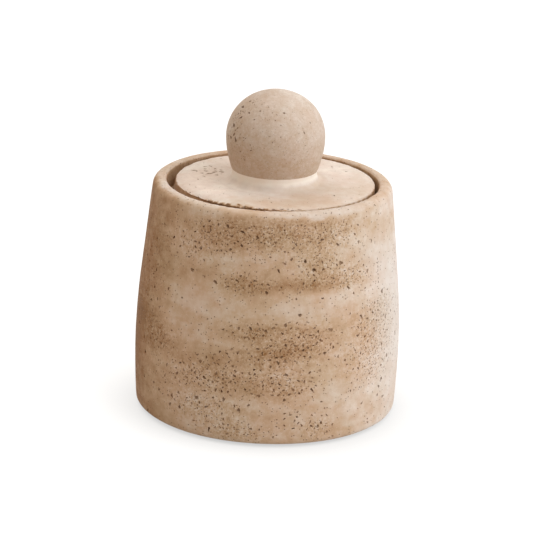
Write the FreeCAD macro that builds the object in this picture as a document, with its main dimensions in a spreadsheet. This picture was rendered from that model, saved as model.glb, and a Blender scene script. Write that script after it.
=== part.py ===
import FreeCAD, Part
import Sketcher
import math
import os

# Lidded stone canister with a ball knob. Millimetres, +Z up.
# The origin is the centre of the plane that the foot pads rest on.
# The front of the photograph looks along +Y, with +X to its right.

doc = FreeCAD.newDocument("canister")


# Driving dimensions: name, value, what it is
sizes = [
    # jar, heights above its own foot
    ("jar_height", 104.7, "foot to rim of the jar"),
    ("belly_radius", 60.0, "widest radius of the jar"),
    ("belly_height", 26.2, "height of the widest ring"),
    ("belly_curve", 335.0, "radius of the barrel curve seen from the side"),
    ("taper_rise", 35.4, "the straight taper starts this far above the widest ring"),
    ("rim_land", 6.2, "width of the rim, outside to mouth"),
    ("rim_outer_round_share", 0.6, "outer rounding as a share of the rim land"),
    ("rim_inner_round_share", 0.24, "mouth rounding as a share of the rim land"),
    ("foot_round", 2.6, "rounding under the foot"),
    ("ledge_width", 5.6, "ledge that the lid lies on"),
    ("ledge_round_share", 0.12, "easing of the ledge as a share of its width"),
    ("floor_thickness", 10.0, "stone left under the bore"),
    ("floor_round", 7.0, "rounding where the bore meets the floor"),
    # lid plate
    ("lid_thickness", 8.5, "plate of the lid"),
    ("lid_set_down", 0.55, "how far the lid lies below the rim"),
    ("lid_play", 2.25, "gap all round between lid and mouth"),
    ("lid_shift_x", 0.95, "the lid lies this far to the right in its play"),
    ("lid_shift_y", 1.2, "and this far to the back"),
    ("lid_top_round", 1.2, "worn upper edge of the lid"),
    ("lid_under_ease", 0.6, "chamfer under the lid's edge"),
    # ball knob
    ("knob_radius", 22.2, "girth radius of the ball"),
    ("knob_flank_offset", 1.5, "flank centre off the axis, fills the shoulders"),
    ("knob_crown_extra", 3.3, "crown radius over flank radius, flattens the top"),
    ("knob_lower_extra", 16.3, "lower flank radius over girth radius, straightens it"),
    ("knob_girth_height", 20.3, "girth over the flat seat"),
    ("knob_shift_x", 0.48, "the knob stands this far right of the jar's axis"),
    ("knob_shift_y", 1.2, "and this far behind it"),
    # bead of stone filler round the knob's foot
    ("bead_cove_radius", 3.9, "hollow curve of the bead"),
    ("bead_lip", 0.15, "thickness where the bead feathers out"),
    # dowel pin between lid and knob
    ("dowel_radius", 3.0, "pin radius"),
    ("dowel_clearance", 0.1, "glue gap round the pin"),
    ("dowel_end_room", 0.6, "glue room above the pin"),
    ("dowel_in_lid", 5.5, "depth of the blind hole in the lid"),
    ("dowel_in_knob", 14.0, "length of the pin inside the ball"),
    ("dowel_ease", 0.5, "chamfer at the pin's ends"),
    # pads under the foot
    ("pad_radius", 5.0, "one stick-on pad"),
    ("pad_thickness", 1.0, "pads lift the stone this much"),
    ("pad_inset", 6.0, "pad edge to the edge of the foot"),
    # cutting tools run past the stone by this
    ("overrun", 2.0, "spare length of every cut"),
]
padCount = 4

sheet = doc.addObject("Spreadsheet::Sheet", "Sizes")
for row, (alias, value, note) in enumerate(sizes, start=1):
    sheet.set("A%d" % row, note)
    sheet.set("B%d" % row, str(value))
    sheet.setAlias("B%d" % row, alias)
doc.recompute()


class Size:
    """A length with the sheet expression that it is bound to."""

    def __init__(self, value, text):
        self.value = value
        self.text = text

    def __add__(self, other):
        return Size(self.value + other.value, "(%s + %s)" % (self.text, other.text))

    def __sub__(self, other):
        return Size(self.value - other.value, "(%s - %s)" % (self.text, other.text))

    def __mul__(self, other):
        return Size(self.value * other.value, "(%s * %s)" % (self.text, other.text))

    def __truediv__(self, other):
        return Size(self.value / other.value, "(%s / %s)" % (self.text, other.text))

    def leg(self, other):
        """The other leg of a right triangle with this hypotenuse."""
        long, short = self.text, other.text
        text = "sqrt(%s * %s - %s * %s)" % (long, long, short, short)
        return Size(math.sqrt(self.value ** 2 - other.value ** 2), text)


given = {alias: Size(value, "Sizes." + alias) for alias, value, note in sizes}
zero = Size(0.0, "0")

# Sizes that follow from the driving ones
curveInset = given["belly_curve"] - given["belly_radius"]
footRadius = given["belly_curve"].leg(given["belly_height"]) - curveInset
taperAcross = given["belly_curve"].leg(given["taper_rise"])
taperLength = given["jar_height"] - given["belly_height"] - given["taper_rise"]
rimRadius = taperAcross - curveInset - given["taper_rise"] / taperAcross * taperLength
mouthRadius = rimRadius - given["rim_land"]
boreRadius = mouthRadius - given["ledge_width"]
galleryDepth = given["lid_thickness"] + given["lid_set_down"]
ledgeHeight = given["jar_height"] - galleryDepth
lidRadius = mouthRadius - given["lid_play"]
lidBase = given["pad_thickness"] + ledgeHeight
lidTop = lidBase + given["lid_thickness"]
knobFlank = given["knob_radius"] - given["knob_flank_offset"]
knobCrown = knobFlank + given["knob_crown_extra"]
knobLower = given["knob_radius"] + given["knob_lower_extra"]
knobSeatRadius = knobLower.leg(given["knob_girth_height"]) - given["knob_lower_extra"]
dowelHoleRadius = given["dowel_radius"] + given["dowel_clearance"]
padCircle = footRadius - given["pad_inset"] - given["pad_radius"]


# Helpers for bodies, sketches and edges
def newBody(label):
    body = doc.addObject("PartDesign::Body", label)
    body.Label = label
    return body


def newSketch(body, name, role, height=None):
    sketch = body.newObject("Sketcher::SketchObject", name)
    plane = [item for item in body.Origin.OriginFeatures if item.Role == role][0]
    sketch.AttachmentSupport = [(plane, "")]
    sketch.MapMode = "FlatFace"
    if height is not None:
        sketch.setExpression("AttachmentOffset.Base.z", height.text)
    return sketch


def bind(sketch, kind, size, *where):
    """Adds a dimension whose value comes from the sheet."""
    index = sketch.addConstraint(Sketcher.Constraint(kind, *where, size.value))
    sketch.setExpression("Constraints[%d]" % index, size.text)


def placePoint(sketch, edge, end, across, up):
    """Fixes one end of an edge at a place measured from the sketch's origin."""
    for kind, size, axis in (("DistanceX", across, -2), ("DistanceY", up, -1)):
        if size is zero:
            sketch.addConstraint(Sketcher.Constraint("PointOnObject", edge, end, axis))
        else:
            bind(sketch, kind, size, -1, 1, edge, end)


def vector(across, up):
    return FreeCAD.Vector(across.value, up.value, 0)


def polygonSketch(body, name, corners):
    """Closed outline of straight lines in the XZ plane."""
    sketch = newSketch(body, name, "XZ_Plane")
    count = len(corners)
    for index, corner in enumerate(corners):
        following = corners[(index + 1) % count]
        sketch.addGeometry(Part.LineSegment(vector(*corner), vector(*following)))
    for index, corner in enumerate(corners):
        before = (index - 1) % count
        sketch.addConstraint(Sketcher.Constraint("Coincident", before, 2, index, 1))
        placePoint(sketch, index, 1, *corner)
    return sketch


def circleSketch(body, name, radius, height=None):
    """One circle in a level plane, about the upright axis."""
    sketch = newSketch(body, name, "XY_Plane", height)
    sketch.addGeometry(Part.Circle(vector(zero, zero), FreeCAD.Vector(0, 0, 1), radius.value))
    placePoint(sketch, 0, 3, zero, zero)
    bind(sketch, "Radius", radius, 0)
    return sketch


def arcGeometry(centre, radius, start, end):
    """Arc about a centre, anticlockwise from start to end."""
    first = math.atan2(start.y - centre.y, start.x - centre.x)
    last = math.atan2(end.y - centre.y, end.x - centre.x)
    return Part.ArcOfCircle(Part.Circle(centre, FreeCAD.Vector(0, 0, 1), radius), first, last)


def spin(body, sketch, name, kind="PartDesign::Revolution"):
    """Turns an outline about the upright axis of its sketch."""
    feature = body.newObject(kind, name)
    feature.Profile = sketch
    feature.ReferenceAxis = (sketch, ["V_Axis"])
    feature.Angle = 360
    doc.recompute()
    return feature


def extrude(body, sketch, name, length, kind="PartDesign::Pad", upward=False):
    feature = body.newObject(kind, name)
    feature.Profile = sketch
    feature.setExpression("Length", length.text)
    feature.Reversed = upward
    doc.recompute()
    return feature


def ringEdges(feature, radius, height):
    """Names of the round edges with this radius at this height."""
    found = []
    for number, edge in enumerate(feature.Shape.Edges, start=1):
        if not isinstance(edge.Curve, Part.Circle):
            continue
        sameRadius = abs(edge.Curve.Radius - radius.value) < 1e-4
        sameHeight = abs(edge.Curve.Center.z - height.value) < 1e-4
        if sameRadius and sameHeight:
            found.append("Edge%d" % number)
    if not found:
        raise RuntimeError("no round edge for the easing on " + feature.Name)
    return found


def ease(body, feature, name, rings, size, kind="PartDesign::Fillet"):
    """Rounds or chamfers round edges, each given by radius and height."""
    names = []
    for radius, height in rings:
        names += ringEdges(feature, radius, height)
    eased = body.newObject(kind, name)
    eased.Base = (feature, names)
    eased.setExpression("Radius" if kind.endswith("Fillet") else "Size", size.text)
    doc.recompute()
    return eased


def checkedCut(before, feature, volume):
    """A cut that points away from the stone removes nothing, so its volume is compared."""
    removed = before.Shape.Volume - feature.Shape.Volume
    if abs(removed - volume) > 0.02 * volume:
        raise RuntimeError("%s removed %.1f, expected %.1f" % (feature.Name, removed, volume))


def place(item, across, back, up):
    for axis, size in (("x", across), ("y", back), ("z", up)):
        item.setExpression("Placement.Base." + axis, size.text)


# Jar: barrel turned outside, then bored and stepped inside
def jarOutline(body):
    sketch = newSketch(body, "barrel_outline", "XZ_Plane")
    curve, belly, height = given["belly_curve"], given["belly_height"], given["jar_height"]
    centre = vector(zero - curveInset, belly)
    foot = vector(footRadius, zero)
    taperStart = vector(taperAcross - curveInset, belly + given["taper_rise"])
    rim = vector(rimRadius, height)
    sketch.addGeometry(Part.LineSegment(vector(zero, zero), foot))
    sketch.addGeometry(arcGeometry(centre, curve.value, foot, taperStart))
    sketch.addGeometry(Part.LineSegment(taperStart, rim))
    sketch.addGeometry(Part.LineSegment(rim, vector(zero, height)))
    sketch.addGeometry(Part.LineSegment(vector(zero, height), vector(zero, zero)))
    for first, second in ((0, 1), (2, 3), (3, 4), (4, 0)):
        sketch.addConstraint(Sketcher.Constraint("Coincident", first, 2, second, 1))
    sketch.addConstraint(Sketcher.Constraint("Tangent", 1, 2, 2, 1))
    placePoint(sketch, 0, 1, zero, zero)
    sketch.addConstraint(Sketcher.Constraint("Horizontal", 0))
    bind(sketch, "DistanceX", curveInset, 1, 3, -1, 1)
    bind(sketch, "DistanceY", belly, -1, 1, 1, 3)
    bind(sketch, "Radius", curve, 1)
    bind(sketch, "DistanceY", given["taper_rise"], 1, 3, 1, 2)
    sketch.addConstraint(Sketcher.Constraint("Horizontal", 3))
    placePoint(sketch, 4, 1, zero, height)
    return sketch


jar = newBody("jar_body")
barrel = spin(jar, jarOutline(jar), "barrel")
cutTop = given["jar_height"] + given["overrun"]
hollowCorners = [
    (zero, given["floor_thickness"]),
    (boreRadius, given["floor_thickness"]),
    (boreRadius, ledgeHeight),
    (mouthRadius, ledgeHeight),
    (mouthRadius, cutTop),
    (zero, cutTop),
]
hollowSketch = polygonSketch(jar, "hollow_outline", hollowCorners)
hollow = spin(jar, hollowSketch, "bore_and_gallery", "PartDesign::Groove")
boreDepth = ledgeHeight - given["floor_thickness"]
boreVolume = boreRadius.value ** 2 * boreDepth.value
galleryVolume = mouthRadius.value ** 2 * galleryDepth.value
checkedCut(barrel, hollow, math.pi * (boreVolume + galleryVolume))
footEase = ease(jar, hollow, "foot_rounding", [(footRadius, zero)], given["foot_round"])
rimOuterRound = given["rim_land"] * given["rim_outer_round_share"]
rimInnerRound = given["rim_land"] * given["rim_inner_round_share"]
ledgeRound = given["ledge_width"] * given["ledge_round_share"]
rimEase = ease(jar, footEase, "rim_rounding", [(rimRadius, given["jar_height"])], rimOuterRound)
mouthEase = ease(jar, rimEase, "mouth_rounding", [(mouthRadius, given["jar_height"])], rimInnerRound)
ledgeEase = ease(jar, mouthEase, "ledge_easing", [(boreRadius, ledgeHeight)], ledgeRound)
floorCorner = [(boreRadius, given["floor_thickness"])]
ease(jar, ledgeEase, "floor_rounding", floorCorner, given["floor_round"])
place(jar, zero, zero, given["pad_thickness"])


# Lid: a loose disc lying on the ledge, with a blind hole for the dowel
lid = newBody("lid_plate")
lidDisc = extrude(lid, circleSketch(lid, "lid_circle", lidRadius), "disc", given["lid_thickness"])
lidUpperRing = [(lidRadius, given["lid_thickness"])]
lidRounded = ease(lid, lidDisc, "upper_edge", lidUpperRing, given["lid_top_round"])
lidEased = ease(lid, lidRounded, "under_edge", [(lidRadius, zero)], given["lid_under_ease"],
                "PartDesign::Chamfer")
holeAcross = given["knob_shift_x"] - given["lid_shift_x"]
holeBack = given["knob_shift_y"] - given["lid_shift_y"]
dowelHoleSketch = circleSketch(lid, "dowel_circle", dowelHoleRadius, given["lid_thickness"])
dowelHoleSketch.setExpression("AttachmentOffset.Base.x", holeAcross.text)
dowelHoleSketch.setExpression("AttachmentOffset.Base.y", holeBack.text)
lidHole = extrude(lid, dowelHoleSketch, "dowel_hole", given["dowel_in_lid"], "PartDesign::Pocket")
holeArea = math.pi * dowelHoleRadius.value ** 2
checkedCut(lidEased, lidHole, holeArea * given["dowel_in_lid"].value)
place(lid, given["lid_shift_x"], given["lid_shift_y"], lidBase)


# Ball knob: steep flank below the girth, full shoulders and a slightly flattened crown above
def placeLowerArc(sketch, edge):
    """Centre of the lower flank's arc: across the axis, level with the girth."""
    bind(sketch, "DistanceX", given["knob_lower_extra"], edge, 3, -1, 1)
    bind(sketch, "DistanceY", given["knob_girth_height"], -1, 1, edge, 3)


def knobOutline(body):
    sketch = newSketch(body, "ball_outline", "XZ_Plane")
    offset, girthHeight = given["knob_flank_offset"], given["knob_girth_height"]
    crownDrop = given["knob_crown_extra"].leg(offset)
    lowerCentre = vector(zero - given["knob_lower_extra"], girthHeight)
    flankCentre = vector(offset, girthHeight)
    crownCentre = vector(zero, girthHeight - crownDrop)
    seatEdge = vector(knobSeatRadius, zero)
    girth = vector(given["knob_radius"], girthHeight)
    outward = (flankCentre - crownCentre).normalize()
    touch = crownCentre + outward * knobCrown.value
    top = crownCentre + FreeCAD.Vector(0, knobCrown.value, 0)
    seatMiddle = vector(zero, zero)
    sketch.addGeometry(Part.LineSegment(seatMiddle, seatEdge))
    sketch.addGeometry(arcGeometry(lowerCentre, knobLower.value, seatEdge, girth))
    sketch.addGeometry(arcGeometry(flankCentre, knobFlank.value, girth, touch))
    sketch.addGeometry(arcGeometry(crownCentre, knobCrown.value, touch, top))
    sketch.addGeometry(Part.LineSegment(top, seatMiddle))
    for first, second in ((0, 1), (3, 4), (4, 0)):
        sketch.addConstraint(Sketcher.Constraint("Coincident", first, 2, second, 1))
    for first, second in ((1, 2), (2, 3)):
        sketch.addConstraint(Sketcher.Constraint("Tangent", first, 2, second, 1))
    placePoint(sketch, 0, 1, zero, zero)
    sketch.addConstraint(Sketcher.Constraint("Horizontal", 0))
    placeLowerArc(sketch, 1)
    bind(sketch, "Radius", knobLower, 1)
    placePoint(sketch, 2, 3, offset, girthHeight)
    sketch.addConstraint(Sketcher.Constraint("PointOnObject", 3, 3, -2))
    bind(sketch, "Radius", knobCrown, 3)
    sketch.addConstraint(Sketcher.Constraint("PointOnObject", 4, 1, -2))
    return sketch


knob = newBody("knob_ball")
ball = spin(knob, knobOutline(knob), "ball")
knobHoleDepth = given["dowel_in_knob"] + given["dowel_end_room"]
knobHoleSketch = circleSketch(knob, "dowel_circle", dowelHoleRadius)
knobHole = extrude(knob, knobHoleSketch, "dowel_hole", knobHoleDepth, "PartDesign::Pocket", True)
checkedCut(ball, knobHole, holeArea * knobHoleDepth.value)
place(knob, given["knob_shift_x"], given["knob_shift_y"], lidTop)


# Bead: filler round the knob's foot, tooled to a hollow curve that feathers into the lid
def beadOutline(body):
    sketch = newSketch(body, "bead_outline", "XZ_Plane")
    cove, lip = given["bead_cove_radius"], given["bead_lip"]
    coveHeight = lip + cove
    reach = knobLower + coveHeight
    reachAcross = reach.leg(given["knob_girth_height"] - coveHeight)
    coveAcross = reachAcross - given["knob_lower_extra"]
    lowerCentre = vector(zero - given["knob_lower_extra"], given["knob_girth_height"])
    coveCentre = vector(coveAcross, coveHeight)
    towards = (coveCentre - lowerCentre).normalize()
    onKnob = lowerCentre + towards * knobLower.value
    onCove = coveCentre - towards * cove.value
    seatEdge = vector(knobSeatRadius, zero)
    outerFoot = vector(coveAcross, zero)
    outerLip = vector(coveAcross, lip)
    sketch.addGeometry(Part.LineSegment(seatEdge, outerFoot))
    sketch.addGeometry(Part.LineSegment(outerFoot, outerLip))
    sketch.addGeometry(arcGeometry(coveCentre, cove.value, onCove, outerLip))
    sketch.addGeometry(Part.LineSegment(onCove, onKnob))
    sketch.addGeometry(arcGeometry(lowerCentre, knobLower.value, seatEdge, onKnob))
    corners = ((0, 2, 1, 1), (1, 2, 2, 2), (2, 1, 3, 1), (3, 2, 4, 2), (4, 1, 0, 1))
    for corner in corners:
        sketch.addConstraint(Sketcher.Constraint("Coincident", *corner))
    placePoint(sketch, 0, 1, knobSeatRadius, zero)
    placePoint(sketch, 0, 2, coveAcross, zero)
    placePoint(sketch, 2, 3, coveAcross, coveHeight)
    bind(sketch, "Radius", cove, 2)
    sketch.addConstraint(Sketcher.Constraint("Vertical", 1))
    placeLowerArc(sketch, 4)
    # the upper lip runs square across the gap between the two curves
    share = "%s / %s" % (reachAcross.text, reach.text)
    knobSide = Size(onKnob.x - lowerCentre.x, "%s * %s" % (knobLower.text, share))
    coveSide = Size(coveCentre.x - onCove.x, "%s * %s" % (cove.text, share))
    bind(sketch, "DistanceX", knobSide, 4, 3, 3, 2)
    bind(sketch, "DistanceX", coveSide, 3, 1, 2, 3)
    return sketch


bead = newBody("knob_bead")
spin(bead, beadOutline(bead), "cove_ring")
place(bead, given["knob_shift_x"], given["knob_shift_y"], lidTop)


# Dowel: pin glued into both blind holes
dowel = newBody("knob_dowel")
dowelLength = given["dowel_in_lid"] + given["dowel_in_knob"]
pinSketch = circleSketch(dowel, "pin_circle", given["dowel_radius"])
pin = extrude(dowel, pinSketch, "pin", dowelLength)
pinRings = [(given["dowel_radius"], zero), (given["dowel_radius"], dowelLength)]
ease(dowel, pin, "pin_ends", pinRings, given["dowel_ease"], "PartDesign::Chamfer")
place(dowel, given["knob_shift_x"], given["knob_shift_y"], lidTop - given["dowel_in_lid"])


# Pads: small discs stuck under the foot, half way between the front and the sides
def footPads():
    pads = []
    for index in range(padCount):
        turn = (index + 0.5) * 360.0 / padCount
        pad = doc.addObject("Part::Cylinder", "pad_%d" % (index + 1))
        pad.setExpression("Radius", given["pad_radius"].text)
        pad.setExpression("Height", given["pad_thickness"].text)
        pad.setExpression("Placement.Base.x", "%s * cos(%g)" % (padCircle.text, turn))
        pad.setExpression("Placement.Base.y", "%s * sin(%g)" % (padCircle.text, turn))
        pads.append(pad)
    group = doc.addObject("Part::Compound", "foot_pads")
    group.Links = pads
    group.Label = "foot_pads"
    return group


pads = footPads()
doc.recompute()

# Every object has to be sound before anything is written
for item in doc.Objects:
    if "Invalid" in item.State or "Error" in item.State:
        raise RuntimeError("%s failed: %s" % (item.Label, item.State))

subparts = [jar, lid, knob, bead, dowel, pads]
for item in subparts:
    if item.Shape.isNull() or not item.Shape.isValid():
        raise RuntimeError(item.Label + " has no valid shape")

os.makedirs("parts", exist_ok=True)
for item in subparts:
    item.Shape.exportStep("parts/%s.step" % item.Label)
    box = item.Shape.BoundBox
    print("%-12s %d solid(s) %10.1f mm3  z %.2f to %.2f" % (
        item.Label, len(item.Shape.Solids), item.Shape.Volume, box.ZMin, box.ZMax))
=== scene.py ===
import math
import random

import bmesh
import bpy
import numpy as np
from mathutils import Matrix, Vector, geometry, noise


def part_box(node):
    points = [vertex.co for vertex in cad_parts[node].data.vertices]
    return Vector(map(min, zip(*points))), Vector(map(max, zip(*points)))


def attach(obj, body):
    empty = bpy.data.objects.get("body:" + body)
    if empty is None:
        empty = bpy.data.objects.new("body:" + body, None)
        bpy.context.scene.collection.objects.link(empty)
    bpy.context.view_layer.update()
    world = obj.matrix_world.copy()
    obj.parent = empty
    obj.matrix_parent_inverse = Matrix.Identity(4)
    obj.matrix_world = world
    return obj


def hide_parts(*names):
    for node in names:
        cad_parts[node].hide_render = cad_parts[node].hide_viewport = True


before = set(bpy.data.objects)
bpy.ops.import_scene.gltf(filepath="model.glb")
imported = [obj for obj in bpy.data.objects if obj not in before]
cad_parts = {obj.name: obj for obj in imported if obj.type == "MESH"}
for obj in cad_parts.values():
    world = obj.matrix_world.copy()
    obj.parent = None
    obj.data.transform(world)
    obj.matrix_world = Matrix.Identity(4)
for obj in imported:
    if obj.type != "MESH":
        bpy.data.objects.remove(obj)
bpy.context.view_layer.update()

mm = 0.001  # the script works in millimetres, Blender in metres
print("frame in: " + ", ".join(sorted(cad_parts)))


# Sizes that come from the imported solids
def turnedSize(node):
    low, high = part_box(node)
    return {
        "middle": ((low.x + high.x) / 2 / mm, (low.y + high.y) / 2 / mm),
        "radius": (high.x - low.x) / 2 / mm,
        "base": low.z / mm,
        "top": high.z / mm,
    }


jarSize = turnedSize("jar_body")
lidSize = turnedSize("lid_plate")
knobSize = turnedSize("knob_ball")
beadSize = turnedSize("knob_bead")

poleRadius = 0.6  # an outline starts and ends this far from the axis
samePlace = 1e-6
gather = 0.6  # how close pores keep to the middle of their drift


def placeObject(name, data):
    thing = bpy.data.objects.new(name, data)
    bpy.context.scene.collection.objects.link(thing)
    return thing


# Outlines: radius and height in mm, from the lower end out and up, stone on the left
def unit(vector):
    return vector / np.linalg.norm(vector)


def poleAt(height):
    return np.array((poleRadius, height))


def arcPoints(centre, radius, start, end, step):
    count = max(2, math.ceil(abs(end - start) * radius / step))
    turns = np.linspace(start, end, count + 1)
    return [np.array(centre) + radius * np.array((math.cos(a), math.sin(a))) for a in turns]


def easedCorner(before, corner, after, rounding, step=0.15):
    corner = np.array(corner, float)
    back = unit(np.array(before) - corner)
    ahead = unit(np.array(after) - corner)
    half = math.acos(float(back @ ahead)) / 2
    centre = corner + unit(back + ahead) * rounding / math.sin(half)
    first = corner + back * rounding / math.tan(half) - centre
    last = corner + ahead * rounding / math.tan(half) - centre
    count = max(3, math.ceil(rounding * (math.pi - 2 * half) / step))
    shares = [index / count for index in range(count + 1)]
    return [centre + unit(first * (1 - k) + last * k) * rounding for k in shares]


def stepsOf(points):
    steps = np.diff(points, axis=0)
    return steps, np.hypot(steps[:, 0], steps[:, 1])


def measured(points, step=0.5, leastWaist=0.8):
    # how far along each point lies, and which way is out of the stone
    fine = [np.array(points[0], float)]
    for point in points[1:]:
        start = fine[-1]
        pieces = max(1, math.ceil(np.linalg.norm(point - start) / step))
        fine += [start + (point - start) * k / pieces for k in range(1, pieces + 1)]
    fine = np.array(fine)
    fine = fine[np.concatenate(([True], stepsOf(fine)[1] > samePlace))]
    steps, runs = stepsOf(fine)
    ways = steps / runs[:, None]
    ways = np.vstack((ways[:1], ways[1:] + ways[:-1], ways[-1:]))
    ways /= np.linalg.norm(ways, axis=1)[:, None]
    waist = np.maximum((fine[1:, 0] + fine[:-1, 0]) / 2, leastWaist)
    return {
        "along": np.concatenate(([0], np.cumsum(runs))),
        "spread": np.concatenate(([0], np.cumsum(runs / waist))),  # length over radius keeps pits in shape
        "radius": fine[:, 0],
        "height": fine[:, 1],
        "outRadius": ways[:, 1],
        "outHeight": -ways[:, 0],
    }


def onLine(line, key, along):
    return np.interp(along, line["along"], line[key])


def namedPlaces(line, edges):
    # how far along the outline its start, its end and its edges lie
    at = {"start": 0, "end": float(line["along"][-1])}
    for name, (radius, height) in edges.items():
        gaps = (line["radius"] - radius) ** 2 + (line["height"] - height) ** 2
        at[name] = float(line["along"][int(np.argmin(gaps))])
    return at


def levelAt(line, size, along):
    return float(onLine(line, "height", along)) - size["base"]


def aroundAxis(radius, height, angle):
    # the front is at angle 0, and angles grow to the right
    return np.array((radius * np.sin(angle), -radius * np.cos(angle), height))


def surfaceAt(line, angle, along):
    return aroundAxis(onLine(line, "radius", along), onLine(line, "height", along), angle)


# Pores: each is an angle from the front, a place along the outline, half sizes, a turn and a depth
poreWaves = ((2, 0.22), (3, 0.16), (5, 0.1))  # round the ragged rim, and how strong each is
poreKinds = (  # from this half length up: sides, and rings as shares of the rim and of the depth
    (0.5, 12, ((1, 0), (0.84, 0.5), (0.48, 0.9))),
    (0.3, 8, ((1, 0), (0.6, 0.75))),
    (0, 6, ((1, 0),)),
)


def poreAt(angle, along, half, rand, slim=None):
    slim = slim or rand.uniform(0.5, 0.95)
    return {
        "angle": angle,
        "along": along,
        "long": half,
        "wide": half * slim,
        "turn": rand.uniform(-1.5, 1.5),
        "depth": half * rand.uniform(0.45, 0.95),
        # how deep a painted shade the pore's floor gets
        "dark": rand.uniform(0.45, 1.0),
        "phases": [rand.uniform(0, math.tau) for wave in poreWaves],
    }


def sparsePores(line, pores, reach=1.2, gap=0.12, seamReach=1.7, cellSize=5):
    # drops a pore that would cut into one before it or over the seam at the back
    kept = []
    cells = {}
    for pore in pores:
        radius = float(onLine(line, "radius", pore["along"]))
        if abs(pore["angle"]) > math.pi - seamReach * pore["long"] / radius:
            continue
        centre = surfaceAt(line, pore["angle"], pore["along"])
        cell = (centre // cellSize).astype(int)
        clear = pore["long"] * reach
        near = []
        for shift in np.ndindex(3, 3, 3):
            near += cells.get(tuple(cell + shift - 1), [])
        if all(np.linalg.norm(centre - other) > far + clear + gap for other, far in near):
            kept.append(pore)
            cells.setdefault(tuple(cell), []).append((centre, clear))
    return kept


def poreLoops(pore):
    # rim, wall, floor and deepest point of one ragged hole
    sides, rings = next(kind[1:] for kind in poreKinds if pore["long"] > kind[0])
    cosTurn, sinTurn = math.cos(pore["turn"]), math.sin(pore["turn"])
    points = []
    for share, sink in rings:
        for side in range(sides):
            turn = math.tau * side / sides
            ragged = 1
            for (count, strong), phase in zip(poreWaves, pore["phases"]):
                ragged += strong * math.sin(count * turn + phase)
            across = pore["long"] * share * ragged * math.cos(turn)
            up = pore["wide"] * share * ragged * math.sin(turn)
            points.append((across * cosTurn - up * sinTurn, across * sinTurn + up * cosTurn, sink))
    points.append((0, 0, 1))
    return points


def edgeNicks(look, edge, rand):
    # broken spots along one edge: degrees from and to, how many, half sizes, how far off the edge
    nicks = []
    for index in range(look["count"]):
        angle = math.radians(rand.uniform(*look["degrees"]))
        half = rand.uniform(*look["halves"])
        along = edge + rand.uniform(*look["off"])
        nicks.append(poreAt(angle, along, half, rand, rand.uniform(0.5, 0.8)))
        nicks[-1].update(turn=rand.gauss(0, 0.3), dark=1, depth=half * 1.1)
    return nicks


def driftPores(drifts, levels, places, rand, lowest, highest=math.inf, coarser=1, sizes=0.3, largest=1.1,
               darkOver=math.inf):
    # pores gathered in drifts, at levels that belong to these places along the outline
    pores = []
    for degrees, height, wide, tall, count, usual in drifts:
        for index in range(count):
            angle = math.radians(rand.gauss(degrees, wide * gather))
            level = rand.gauss(height, tall * gather)
            if lowest < level < min(highest, levels[-1]):
                half = rand.lognormvariate(math.log(usual * coarser), sizes)
                along = float(np.interp(level, levels, places))
                pores.append(poreAt(angle, along, min(largest, half), rand))
                if usual > darkOver:
                    pores[-1]["dark"] = 1
    return pores


def strewnPores(line, start, end, rand, drift, count, usual, largest, widest=60, sizes=0.38, tries=6,
                arc=3.1):
    # pores strewn over a stretch of the outline, as thick as the drift says and thickest at the widest radius
    pores = []
    for attempt in range(count * tries):
        if len(pores) >= count:
            break
        along = rand.uniform(start, end)
        angle = rand.uniform(-arc, arc)
        if rand.random() > float(onLine(line, "radius", along)) / widest:
            continue
        if rand.random() > drift(angle, along):
            continue
        half = rand.lognormvariate(math.log(usual), sizes)
        pores.append(poreAt(angle, along, min(largest, half), rand))
    return pores


# Turned stone: rows of points and the pores' own points, joined by triangles
def turnedRows(line, spacing, rand, rowShare=0.87, turned=0.25, stray=0.12, fewest=6):
    places, gaps = zip(*spacing)
    gap = np.interp(line["along"], places, gaps)
    steps = np.diff(line["along"]) / (rowShare * (gap[1:] + gap[:-1]) / 2)
    counted = np.concatenate(([0], np.cumsum(steps)))
    rowCount = max(2, round(counted[-1]))
    rows = []
    for row in range(rowCount + 1):
        along = float(np.interp(row * counted[-1] / rowCount, counted, line["along"]))
        radius = float(onLine(line, "radius", along))
        width = float(np.interp(along, places, gaps))
        count = max(fewest, round(math.tau * radius / width))
        atEnd = row in (0, rowCount)
        shift = 0 if atEnd else turned * (-1) ** row
        loose = 0 if atEnd else stray
        points = [(-math.pi, along)]
        for index in range(1, count):
            angle = -math.pi + math.tau * (index + shift + rand.uniform(-loose, loose)) / count
            points.append((angle, along + rand.uniform(-loose, loose) * width))
        points.append((math.pi, along))
        rows.append(points)
    return rows


def clearOfPores(line, points, pores, reach=1.25, gap=0.4):
    angle, along = np.array(points).T
    where = surfaceAt(line, angle, along).T
    clear = np.ones(len(where), bool)
    for pore in pores:
        kept = pore["long"] * reach + gap
        centre = surfaceAt(line, pore["angle"], pore["along"])
        picked = np.nonzero(clear & (np.abs(where[:, 2] - centre[2]) < kept))[0]
        clear[picked[np.linalg.norm(where[picked] - centre, axis=1) < kept]] = False
    return clear


def joinedSpots(line, rows, pores, same=1e-7):
    # spots as angle, place along the outline, sink and the painted shade of the pores, with the faces that
    # join them
    ends = [point for row in (rows[0], rows[-1]) for point in row]
    seam = [point for row in rows[1:-1] for point in (row[0], row[-1])]
    inner = [point for row in rows[1:-1] for point in row[1:-1]]
    if pores:
        clear = clearOfPores(line, inner, pores)
        inner = [point for point, free in zip(inner, clear) if free]
    spots = [(angle, along, 0, 0) for angle, along in ends + seam + inner]
    for pore in pores:
        for across, up, sink in poreLoops(pore):
            along = pore["along"] + up
            angle = pore["angle"] + across / float(onLine(line, "radius", along))
            spots.append((angle, along, sink * pore["depth"], sink * pore["dark"]))
    spots = np.array(spots)
    flat = np.column_stack((spots[:, 0], onLine(line, "spread", spots[:, 1])))
    result = geometry.delaunay_2d_cdt([Vector(pair) for pair in flat], [], [], 0, same)
    source = [old[0] for old in result[3]]
    return spots[source], [tuple(face) for face in result[2]]


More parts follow.
